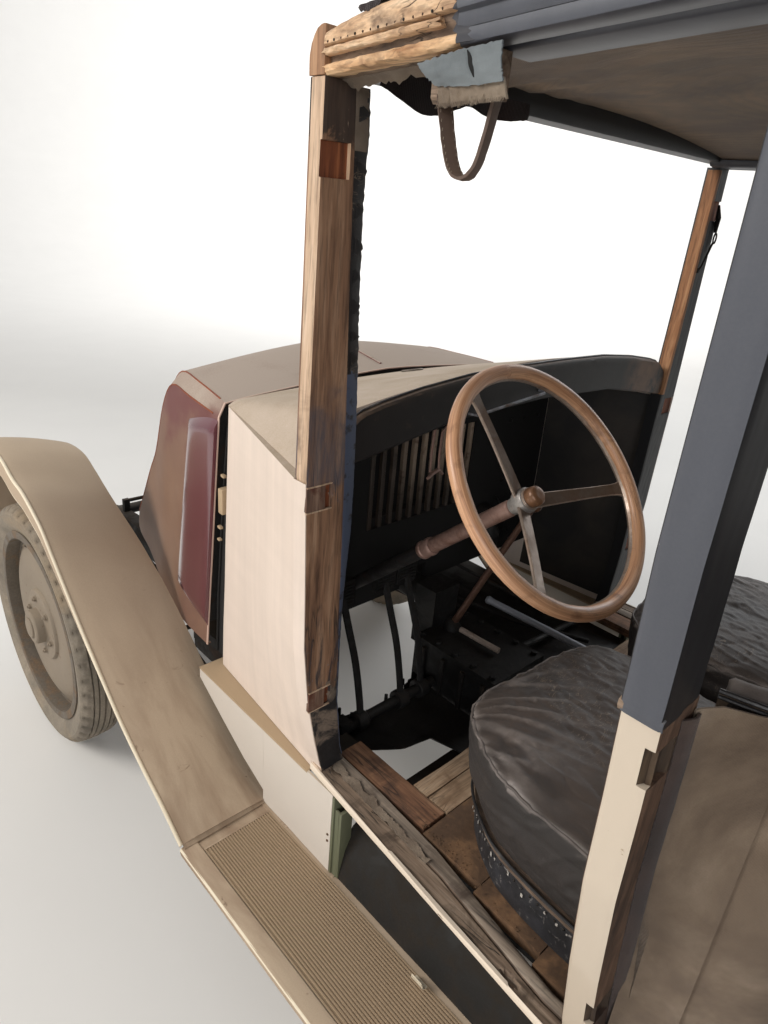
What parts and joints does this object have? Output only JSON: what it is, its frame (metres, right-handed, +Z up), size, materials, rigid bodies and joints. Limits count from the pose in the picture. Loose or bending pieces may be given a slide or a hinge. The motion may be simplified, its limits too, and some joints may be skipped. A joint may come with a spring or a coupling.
{
  "type": "1920s closed car, stripped for restoration",
  "caption": "Closed car of the 1920s with a low sloping bonnet, swept wings, running boards, open doorways, leather seats and a tilted steering wheel.",
  "frame": {"origin": "on the ground, at the middle of the car's length and width", "axes": "+X forward, +Y to the car's left, +Z up"},
  "size_m": [3.7681, 1.454, 1.7762],
  "materials": {
    "primer_panel": "matt primer",
    "maroon_paint": "gloss, worn",
    "dusty_paint": "dusty paint with a cream bead",
    "slate_paint": "matt, weathered",
    "black_paint": "matt, dusty",
    "chassis_black": "oily and dusty",
    "old_wood": "bare weathered ash",
    "rim_wood": "varnished, cracked",
    "black_leather": "worn, dusty",
    "khaki_cloth": "woven trim cloth",
    "brown_strap": "worn webbing",
    "bare_steel": "dull",
    "cast_housing": "oily cast metal",
    "radiator_brass": "dull, dusty",
    "wheel_paint": "dusty grey",
    "tyre": "dusty rubber"
  },
  "bodies": {
    "chassis": {"chassis_rails": "chassis_black", "cross_members": "chassis_black", "bonnet_hinge_bar": "chassis_black", "front_axle": "chassis_black", "rear_axle": "chassis_black", "front_springs": "chassis_black", "rear_springs": "chassis_black", "engine_block": "cast_housing", "gearbox_and_torque_tube": "cast_housing", "exhaust": "bare_steel", "radiator": "radiator_brass", "bulkhead": "black_paint", "steering_column": "bare_steel", "pedals_and_levers": "bare_steel", "front_wings": "dusty_paint", "rear_wings": "dusty_paint", "running_boards": "dusty_paint", "valances": "primer_panel", "scuttle_top": "primer_panel", "scuttle_sides": "primer_panel", "sills": "old_wood", "floor_boards": "old_wood", "a_pillars": "old_wood", "door_pillars": "slate_paint", "roof_frame": "old_wood", "roof_panel": "slate_paint", "headlining": "khaki_cloth", "rear_lower_panels": "primer_panel", "rear_upper_panels": "slate_paint", "dash_rail": "black_paint", "front_seat_cushions": "black_leather", "front_seat_backs": "black_leather", "seat_bases": "old_wood", "rear_seat_cushion": "black_leather", "rear_seat_back": "black_leather", "grab_strap": "brown_strap"},
    "bonnet": {"bonnet": "maroon_paint"},
    "steering_wheel": {"steering_wheel_rim": "rim_wood", "steering_wheel_spider": "bare_steel"},
    "drop_arm": {"drop_arm": "chassis_black"},
    "drag_link": {"drag_link": "chassis_black"},
    "tie_rod": {"tie_rod": "chassis_black"},
    "left_knuckle": {"left_knuckle": "chassis_black"},
    "right_knuckle": {"right_knuckle": "chassis_black"},
    "front_left_wheel": {"front_left_tyre": "tyre", "front_left_wheel": "wheel_paint"},
    "front_right_wheel": {"front_right_tyre": "tyre", "front_right_wheel": "wheel_paint"},
    "rear_left_wheel": {"rear_left_tyre": "tyre", "rear_left_wheel": "wheel_paint"},
    "rear_right_wheel": {"rear_right_tyre": "tyre", "rear_right_wheel": "wheel_paint"}
  },
  "joints": [
    {"name": "steering", "type": "hinge", "parent": "chassis", "child": "steering_wheel", "pos_m": [0.1, 0.283, 1.151], "axis": [-0.7581, 0, 0.6521], "range_deg": [-280, 280]},
    {"name": "left_kingpin", "type": "hinge", "parent": "chassis", "child": "left_knuckle", "pos_m": [1.42, 0.56, 0.353], "axis": [0, 0, 1], "range_deg": [-28, 28]},
    {"name": "right_kingpin", "type": "hinge", "parent": "chassis", "child": "right_knuckle", "pos_m": [1.42, -0.56, 0.353], "axis": [0, 0, 1], "range_deg": [-28, 28]},
    {"name": "drop_arm_shaft", "type": "hinge", "parent": "chassis", "child": "drop_arm", "pos_m": [0.924, 0.359, 0.47], "axis": [0, 1, 0], "range_deg": [-28, 28]},
    {"name": "drag_link_eye", "type": "hinge", "parent": "drop_arm", "child": "drag_link", "pos_m": [0.924, 0.38, 0.29], "axis": [0, 1, 0], "range_deg": [-28, 28]},
    {"name": "tie_rod_eye", "type": "hinge", "parent": "left_knuckle", "child": "tie_rod", "pos_m": [1.27, 0.56, 0.277], "axis": [0, 0, 1], "range_deg": [-28, 28]},
    {"name": "front_left_spin", "type": "hinge", "parent": "left_knuckle", "child": "front_left_wheel", "pos_m": [1.42, 0.635, 0.353], "axis": [0, 1, 0], "continuous": true},
    {"name": "front_right_spin", "type": "hinge", "parent": "right_knuckle", "child": "front_right_wheel", "pos_m": [1.42, -0.635, 0.353], "axis": [0, 1, 0], "continuous": true},
    {"name": "rear_left_spin", "type": "hinge", "parent": "chassis", "child": "rear_left_wheel", "pos_m": [-1.442, 0.635, 0.353], "axis": [0, 1, 0], "continuous": true},
    {"name": "rear_right_spin", "type": "hinge", "parent": "chassis", "child": "rear_right_wheel", "pos_m": [-1.442, -0.635, 0.353], "axis": [0, 1, 0], "continuous": true},
    {"name": "bonnet_hinge", "type": "hinge", "parent": "chassis", "child": "bonnet", "pos_m": [1.71, 0, 0.542], "axis": [0, 1, 0], "range_deg": [0, 60]}
  ],
  "couplings": [
    {"joint": "left_kingpin", "follows": "steering", "ratio": 0.1},
    {"joint": "right_kingpin", "follows": "steering", "ratio": 0.1},
    {"joint": "drop_arm_shaft", "follows": "steering", "ratio": -0.1},
    {"joint": "drag_link_eye", "follows": "steering", "ratio": 0.1},
    {"joint": "tie_rod_eye", "follows": "steering", "ratio": -0.1}
  ]
}
